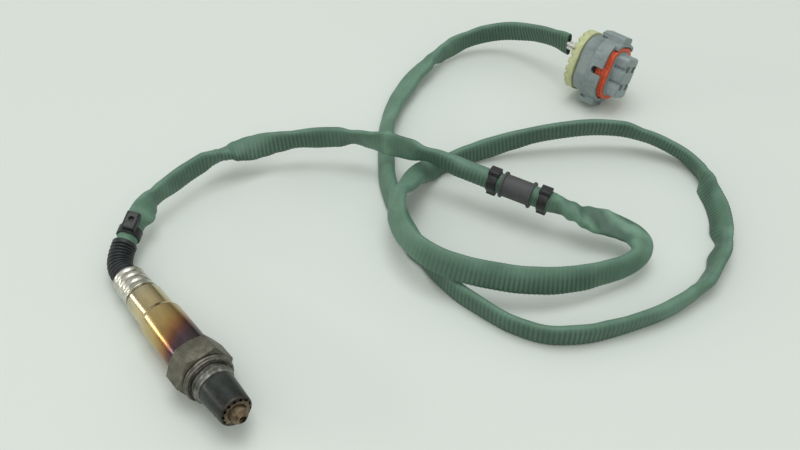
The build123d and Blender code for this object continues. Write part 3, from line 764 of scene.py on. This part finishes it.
def sectionOf(ring, side, radius):
    # One point of a ring: its place, how ribbed it is there and how it folds
    angle = 2 * math.pi * side / sleeve["sides"]
    cosine, sine = math.cos(angle), math.sin(angle)
    power = 1 - sleeve["square"] * ring["flat"]
    widened, thinned = 1 + sleeve["wide"] * ring["flat"], 1 - sleeve["thin"] * ring["flat"]
    wide = math.copysign(abs(cosine) ** power, cosine) * widened
    thin = math.copysign(abs(sine) ** power, sine) * thinned
    out = (ring["wideWay"] * wide * thinned + ring["thinWay"] * thin * widened).normalized()
    upward = (out.z - sleeve["topFrom"]) / (sleeve["topFull"] - sleeve["topFrom"])
    topShare = min(max(upward, 0), 1)
    ribs = ring["ribbing"] * (1 - sleeve["topSmooth"] * topShare)
    place = ring["centre"] + (ring["wideWay"] * wide + ring["thinWay"] * thin) * radius
    place -= out * sleeve["valley"] * ribs * (1 - ring["height"]) * radius
    (creased, creaseScale), (rippled, rippleScale) = folds["creases"], folds["ripples"]
    crease = creased * abs(noise.noise(place * creaseScale))
    ripple = rippled * noise.noise(place * rippleScale)
    fold = ring["crumple"] * (folds["rise"] - crease + ripple)
    place += out * fold * folds["height"] * mm
    place.z = max(place.z, sleeve["offGround"] * mm)
    return place, ribs, min(max(0.5 + fold, 0), 1)


def buildSleeve(points):
    rings = sleeveRings(points)
    sides = sleeve["sides"]
    shape = bmesh.new()
    uvLayer = shape.loops.layers.uv.new("map")
    ribLayer = shape.verts.layers.float.new("ribbing")
    # the fold layer lets the material paint shade in creases and highlight on folds
    foldLayer = shape.verts.layers.float.new("fold")

    def drawRing(ring, share=1.0):
        made = []
        for side in range(sides):
            place, ribs, fold = sectionOf(ring, side, sleeve["radius"] * mm * share)
            vertex = shape.verts.new(place)
            vertex[ribLayer], vertex[foldLayer] = ribs, fold
            made.append(vertex)
        return made

    loops = [(drawRing(ring), ring["at"]) for ring in rings]
    # both ends turn in and run back inside, so the wall has a thickness to see
    depth = sleeve["endDepth"]
    for end, inner in ((rings[0], rings[depth]), (rings[-1], rings[-1 - depth])):
        rim = (drawRing(end, sleeve["rim"]), end["at"])
        deep = (drawRing(inner, sleeve["innerEdge"]), end["at"])
        loops = [deep, rim] + loops if end is rings[0] else loops + [rim, deep]
    for (low, lowAt), (high, highAt) in zip(loops, loops[1:]):
        for side in range(sides):
            beside = (side + 1) % sides
            face = shape.faces.new((low[side], low[beside], high[beside], high[side]))
            face.smooth = True
            spots = ((lowAt, side), (lowAt, side + 1), (highAt, side + 1), (highAt, side))
            for corner, (at, turn) in zip(face.loops, spots):
                corner[uvLayer].uv = (at / (sleeve["pitch"] * mm), turn / sides)
    for end in (loops[0][0], loops[-1][0]):
        shape.faces.new(end)
    bmesh.ops.recalc_face_normals(shape, faces=shape.faces)
    mesh = bpy.data.meshes.new("sleeve")
    shape.to_mesh(mesh)
    shape.free()
    mesh.materials.append(finishes["sleeving"])
    made = bpy.data.objects.new("sleeve", mesh)
    bpy.context.collection.objects.link(made)
    return made


sleeveCorners = [Vector(corner) * mm for corner in sleeveRoute]
sleevePoints = smoothLine("sleeveLine", sleeveCorners, sleeve["resolution"])
sleevePiece = buildSleeve(sleevePoints)
print("sleeve laid:", round(along(sleevePoints)[-1], 4), "m")


# Helpers for the fixed pieces

def selectOnly(piece):
    bpy.ops.object.select_all(action="DESELECT")
    piece.select_set(True)
    bpy.context.view_layer.objects.active = piece


mergeWithin = 0.001 * mm
flatWithin = 0.4  # degrees


def dressed(node, name, finish, easing=0.0, segments=2, edgeAngle=28, smoothAngle=38):
    # A copy of a fixed solid, with its edges eased and its own finish
    piece = nodes[node].copy()
    piece.data = nodes[node].data.copy()
    piece.name = piece.data.name = name
    bpy.context.collection.objects.link(piece)
    selectOnly(piece)
    bpy.ops.object.mode_set(mode="EDIT")
    bpy.ops.mesh.select_all(action="SELECT")
    bpy.ops.mesh.remove_doubles(threshold=mergeWithin)
    bpy.ops.mesh.dissolve_limited(angle_limit=math.radians(flatWithin))
    bpy.ops.object.mode_set(mode="OBJECT")
    if easing:
        bevel = piece.modifiers.new("easing", "BEVEL")
        bevel.width = easing * mm
        bevel.segments = segments
        bevel.limit_method = "ANGLE"
        bevel.angle_limit = math.radians(edgeAngle)
        bevel.use_clamp_overlap = False
        bpy.ops.object.modifier_apply(modifier=bevel.name)
    bpy.ops.object.shade_smooth_by_angle(angle=math.radians(smoothAngle))
    piece.data.materials.clear()
    piece.data.materials.append(finishes[finish])
    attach(piece, "root")
    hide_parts(node)
    return piece


def coverWith(node, finish):
    # A hidden solid keeps its own shape and gets a better material
    for slot in nodes[node].material_slots:
        slot.material = finishes[finish]


def paintFaces(piece, finish, wanted):
    piece.data.materials.append(finishes[finish])
    last = len(piece.data.materials) - 1
    for face in piece.data.polygons:
        if wanted(face):
            face.material_index = last


def turnedPiece(name, profile, sides):
    # A ring at the first (height, radius) corner, extruded through the others and back to it
    bpy.ops.object.select_all(action="DESELECT")
    start, radius = profile[0]
    bpy.ops.mesh.primitive_circle_add(vertices=sides, radius=radius * mm)
    piece = bpy.context.object
    piece.name = piece.data.name = name
    bpy.ops.object.mode_set(mode="EDIT")
    bpy.ops.mesh.select_all(action="SELECT")
    bpy.ops.transform.translate(value=(0, 0, start * mm))
    for (low, near), (high, far) in zip(profile, profile[1:] + profile[:1]):
        lift = {"value": (0, 0, (high - low) * mm)}
        bpy.ops.mesh.extrude_region_move(TRANSFORM_OT_translate=lift)
        grow = (far / near, far / near, 1)
        bpy.ops.transform.resize(value=grow, center_override=(0, 0, high * mm))
    bpy.ops.mesh.select_all(action="SELECT")
    bpy.ops.mesh.remove_doubles(threshold=mergeWithin)
    bpy.ops.mesh.normals_make_consistent(inside=False)
    bpy.ops.object.mode_set(mode="OBJECT")
    return piece


def layOnSensor(piece, station=0.0):
    # An upright piece is laid along the tilted sensor, its foot at this station
    turned = Matrix((sensorUp, sensorUp.cross(sensorAxis), sensorAxis)).transposed().to_4x4()
    foot = Matrix.Translation(seatPoint + sensorAxis * station * mm)
    piece.data.transform(foot @ turned)


def finishPiece(piece, finish, *stoodFor, smoothAngle=40):
    selectOnly(piece)
    bpy.ops.object.shade_smooth_by_angle(angle=math.radians(smoothAngle))
    piece.data.materials.clear()
    piece.data.materials.append(finishes[finish])
    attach(piece, "root")
    if stoodFor:
        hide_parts(*stoodFor)


# The thread's solid is a plain cylinder, so it shrinks to the root and a ridge is wound on it
thread = {
    "start": 3.8, "length": 3.6, "pitch": 1.5, "root": 8.12, "crest": 9.0,
    "runOut": (0.6, 0.7),    # how far the plain ends reach past it, behind and before
    "smearedFrom": 2.5,      # station where the smeared finish begins
    "sunk": 0.1,             # depth of the ridge's foot below the root
    "foot": 0.46,            # half widths of the ridge, as shares of the pitch
    "top": 0.09,
    "steps": 72,
}


def dressHousing():
    housing = dressed("sensor_housing", "sensorHousing", "hex", easing=0.16)
    behind, before = thread["runOut"]
    first, last = thread["start"] - behind, thread["start"] + thread["length"] + before
    for vertex in housing.data.vertices:
        station, radius = stationAndRadius(vertex.co)
        if first < station < last and radius > thread["root"]:
            centre = seatPoint + sensorAxis * station * mm
            vertex.co = centre + (vertex.co - centre) * (thread["root"] / radius)
    paintFaces(
        housing, "thread",
        lambda face: stationAndRadius(face.center)[0] > thread["smearedFrom"])


def buildThread():
    # A V-shaped profile is wound up, then its ends are closed
    pitch, crest = thread["pitch"] * mm, thread["crest"] * mm
    foot = (thread["root"] - thread["sunk"]) * mm
    half, top = pitch * thread["foot"], pitch * thread["top"]
    bpy.ops.object.select_all(action="DESELECT")
    bpy.ops.mesh.primitive_plane_add(size=1)
    ridge = bpy.context.object
    ridge.name = ridge.data.name = "threadRidge"
    corners = [(foot, 0, -half), (crest, 0, -top), (crest, 0, top), (foot, 0, half)]
    for index, corner in zip(ridge.data.polygons[0].vertices, corners):
        ridge.data.vertices[index].co = corner
    bpy.ops.object.mode_set(mode="EDIT")
    bpy.ops.mesh.select_all(action="SELECT")
    bpy.ops.mesh.delete(type="ONLY_FACE")
    bpy.ops.object.mode_set(mode="OBJECT")
    turns = (thread["length"] * mm - 2 * half) / pitch
    screw = ridge.modifiers.new("turns", "SCREW")
    screw.angle = -2 * math.pi * turns
    screw.screw_offset = turns * pitch
    screw.steps = screw.render_steps = round(thread["steps"] * turns)
    screw.axis = "Z"
    bpy.ops.object.modifier_apply(modifier=screw.name)
    layOnSensor(ridge, thread["start"] + half / mm)
    bpy.ops.object.mode_set(mode="EDIT")
    bpy.ops.mesh.select_all(action="DESELECT")
    bpy.ops.mesh.select_non_manifold()
    bpy.ops.mesh.fill()
    bpy.ops.mesh.select_all(action="SELECT")
    bpy.ops.mesh.normals_make_consistent(inside=False)
    bpy.ops.object.mode_set(mode="OBJECT")
    finishPiece(ridge, "thread", smoothAngle=30)


dressHousing()
print("housing dressed")
buildThread()
print("thread cut")

gasket = {
    "back": 0.4, "front": 3.2, "bore": 8.5, "rim": 10.7, "sides": 96,
    "valley": 0.75,     # depth between the two beads
    "roundness": 0.8,
    "beadSteps": 10,
    # corners of the groove in its face: distance behind the front, distance inside the rim
    "groove": [(0, 1.0), (0.35, 1.2), (0.35, 1.45), (0.08, 1.65)],
    # and of its inner edge: distance behind the front, distance outside the bore
    "edge": [(0.08, 0.1), (0.2, 0)],
}


def buildGasket():
    # A folded ring: two round beads on its rim, and a groove in its face
    back, front, bore, rim = (gasket[key] for key in ("back", "front", "bore", "rim"))
    bead, steps = (front - back) / 2, gasket["beadSteps"]
    profile = [(back, bore), (back, rim - gasket["valley"])]
    for start in (back, back + bead):
        for step in range(1, steps):
            turn = math.pi * step / steps
            depth = gasket["valley"] * (1 - math.sin(turn) ** gasket["roundness"])
            profile.append((start + bead * (1 - math.cos(turn)) / 2, rim - depth))
        profile.append((start + bead, rim - gasket["valley"]))
    profile += [(front - behind, rim - inside) for behind, inside in gasket["groove"]]
    profile += [(front - behind, bore + outside) for behind, outside in gasket["edge"]]
    piece = turnedPiece("gasketRing", profile, gasket["sides"])
    layOnSensor(piece)
    finishPiece(piece, "gasket", "gasket_ring", smoothAngle=50)


buildGasket()
print("gasket folded")

tubes = {"outerEasing": 0.35, "innerEasing": 0.3, "shellEasing": 0.3, "facesForward": 0.93}

outerTube = dressed(
    "outer_protection_tube", "outerTube", "sooted",
    easing=tubes["outerEasing"], segments=3, edgeAngle=30, smoothAngle=40)
# its front face is stained as the inner tube is
paintFaces(outerTube, "nose", lambda face: face.normal.dot(sensorAxis) > tubes["facesForward"])
dressed(
    "inner_protection_tube", "innerTube", "nose",
    easing=tubes["innerEasing"], segments=3, edgeAngle=30, smoothAngle=40)
dressed(
    "protective_shell", "protectiveShell", "shell",
    easing=tubes["shellEasing"], segments=3, edgeAngle=25, smoothAngle=40)
print("tubes dressed")

crimp = {
    "front": -56.6, "rear": -71.3, "radius": 7.42, "bore": 6.86, "sides": 128, "rings": 40,
    # corners of the flared lip: distance behind the front, radius
    "lip": [(0.1, 7.68), (0.35, 7.80), (0.75, 7.75)],
    "straight": (1.1, 1.0),   # where the straight wall begins and ends, from either end
    # corners of the end that is rolled in, and back inside: distance before the rear, radius
    "roll": [(0.55, 7.30), (0.22, 7.02), (0.04, 6.57), (0, 6.02), (0, 5.36), (0.45, 5.36),
             (0.5, 6.66), (0.8, 6.86)],
    # the crimps: three grooves round it, each pressed deeper in eight places
    "grooves": (-60.2, -64.4, -68.3), "width": 1.3, "depth": 0.50, "steepness": 1.6,
    "lobes": 8, "lobeShare": 0.25, "skin": 0.1,
}


def pressAt(station, turn):
    # How deep the crimps go here
    groove = sum(
        math.exp(-((station - middle) / crimp["width"]) ** 2 * crimp["steepness"])
        for middle in crimp["grooves"])
    share = crimp["lobeShare"]
    return crimp["depth"] * groove * (1 - share + share * math.cos(crimp["lobes"] * turn))


def buildCrimps():
    front, rear, radius, bore = (crimp[key] for key in ("front", "rear", "radius", "bore"))
    first, last = front - crimp["straight"][0], rear + crimp["straight"][1]
    rings = crimp["rings"]
    profile = [(front - behind, at) for behind, at in crimp["lip"]]
    profile += [(first - (first - last) * step / rings, radius) for step in range(rings + 1)]
    profile += [(rear + before, at) for before, at in crimp["roll"]]
    profile += [(front, bore)]
    piece = turnedPiece("crimpSleeve", profile, crimp["sides"])
    for vertex in piece.data.vertices:
        wide = math.hypot(vertex.co.x, vertex.co.y) / mm
        if wide < bore + crimp["skin"]:
            continue
        press = pressAt(vertex.co.z / mm, math.atan2(vertex.co.y, vertex.co.x))
        vertex.co.x *= 1 - press / wide
        vertex.co.y *= 1 - press / wide
    layOnSensor(piece)
    finishPiece(piece, "crimp", "crimp_sleeve", smoothAngle=50)


buildCrimps()
print("sensor dressed")

bellows = {
    # corners of its line on the sensor: station, side, height
    "line": [(-66.8, 0, 0), (-69.5, 0, 0), (-83.9, 0, 0), (-90.37, 8.251, 3.334)],
    "resolution": 40,
    "sides": 64,
    "ribs": 12,
    "pitch": 1.86,
    "foot": 4.82,
    # corners of one rib: distance from its start, radius
    "rib": [(0, 4.72), (0.22, 4.84), (0.40, 5.38), (0.66, 5.63), (0.93, 5.68), (1.20, 5.63),
            (1.46, 5.38), (1.64, 4.84)],
    "cuff": 2.5,
    # corners of the cuff, and back inside: distance before its end, radius
    "cuffCorners": [(2.45, 4.72), (2.3, 5.43), (2.0, 5.68), (0.35, 5.68), (0.08, 5.50),
                    (0, 5.23), (0, 4.80), (2.4, 4.80), (2.5, 4.4)],
    "bore": 4.4,
    "boreRings": 24,
}


def buildBoot():
    # Bellows turned straight, then bent along their line
    sideways = Vector((0, 1, 0))
    corners = [
        seatPoint + (sensorAxis * station + sideways * across + sensorUp * height) * mm
        for station, across, height in bellows["line"]
    ]
    points = smoothLine("bootLine", corners, bellows["resolution"])
    distances = along(points)
    total = distances[-1] / mm
    ribsStart = total - bellows["cuff"] - bellows["pitch"] * bellows["ribs"]
    profile = [(0, bellows["foot"])]
    for rib in range(bellows["ribs"]):
        start = ribsStart + bellows["pitch"] * rib
        profile += [(start + at, radius) for at, radius in bellows["rib"]]
    profile += [(total - before, radius) for before, radius in bellows["cuffCorners"]]
    depth, rings = total - bellows["cuff"], bellows["boreRings"]
    profile += [(depth * (rings - ring) / rings, bellows["bore"]) for ring in range(1, rings + 1)]
    piece = turnedPiece("bellowsBoot", profile, bellows["sides"])
    for vertex in piece.data.vertices:
        at = min(max(vertex.co.z, 0), distances[-1])
        index = max(i for i, distance in enumerate(distances[:-1]) if distance <= at)
        share = (at - distances[index]) / (distances[index + 1] - distances[index])
        centre = points[index].lerp(points[index + 1], share)
        ahead, behind = points[min(index + 3, len(points) - 1)], points[max(index - 2, 0)]
        heading = (ahead - behind).normalized()
        out = (sensorUp - heading * sensorUp.dot(heading)).normalized()
        vertex.co = centre + out * vertex.co.x + heading.cross(out) * vertex.co.y
    selectOnly(piece)
    bpy.ops.object.mode_set(mode="EDIT")
    bpy.ops.mesh.select_all(action="SELECT")
    bpy.ops.mesh.normals_make_consistent(inside=False)
    bpy.ops.object.mode_set(mode="OBJECT")
    finishPiece(piece, "boot", "bellows_boot", smoothAngle=60)


buildBoot()
print("boot bent")

# Where the plug's rear face is, which way the plug points, and how far in its seal begins
plug = {
    "origin": Vector((-32.6, 271.3, 20.527)) * mm,
    "axis": Vector((0.987688, 0.156434, 0)),
    "sealStart": 10.4,
}

bush = dressed("clip_bush", "clipBush", "bush", easing=0.22, segments=3)
nearClamp = dressed("bush_clamp_near", "nearClamp", "clamp", easing=0.2)
farClamp = dressed("bush_clamp_far", "farClamp", "clamp", easing=0.2)
sleeveClamp = dressed("sleeve_clamp", "sleeveClamp", "clamp", easing=0.2)
tails = dressed("wire_tails", "wireTails", "lead")
retainer = dressed("rear_retainer", "rearRetainer", "retainer", easing=0.12)
plugBody = dressed("connector_housing", "plugBody", "plug", smoothAngle=20)
seal = dressed("interface_seal", "interfaceSeal", "seal", easing=0.14)
carrier = dressed("terminal_carrier", "terminalCarrier", "carrier", easing=0.12)


def isBehindSeal(face):
    return (face.center - plug["origin"]).dot(plug["axis"]) < plug["sealStart"] * mm


# painted shade: the carrier behind the seal, seen only through the keyway, gets the black rubber
# finish to stand in for the shade there
paintFaces(carrier, "blackRubberAndShade", isBehindSeal)
print("lead and plug dressed")

innerPieces = {
    "sensing_element": "ceramic", "heater_rod": "ceramic", "element_washer": "steel",
    "talc_packing": "ceramic", "ceramic_sleeve": "ceramic", "crimp_ring": "steel",
    "contact_holder": "ceramic", "contact_springs": "tin", "wire_grommet": "blackRubberAndShade",
    "lead_wires": "lead", "wire_seal": "seal", "terminals": "tin",
}
for node, finish in innerPieces.items():
    coverWith(node, finish)
print("inner pieces covered")

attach(sleevePiece, "root")
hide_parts("harness_sleeve")
print("sleeve declared")


ground = {"size": 6.0, "colour": (0.70, 0.745, 0.705), "cloudScale": 3, "cloudShade": 0.985}


def layFloor():
    bpy.ops.mesh.primitive_plane_add(size=ground["size"], location=(0, 0, 0))
    floor = bpy.context.object
    floor.name = "floor"
    material = newMaterial("paleFloor", ground["colour"], roughness=0.75)
    cloud = noiseOn(material, ground["cloudScale"], detail=2.0)
    low = tuple(value * ground["cloudShade"] for value in ground["colour"])
    setColour(material, rampOn(material, cloud, [(0.3, low), (0.7, ground["colour"])]))
    floor.data.materials.append(material)


layFloor()
print("floor laid")
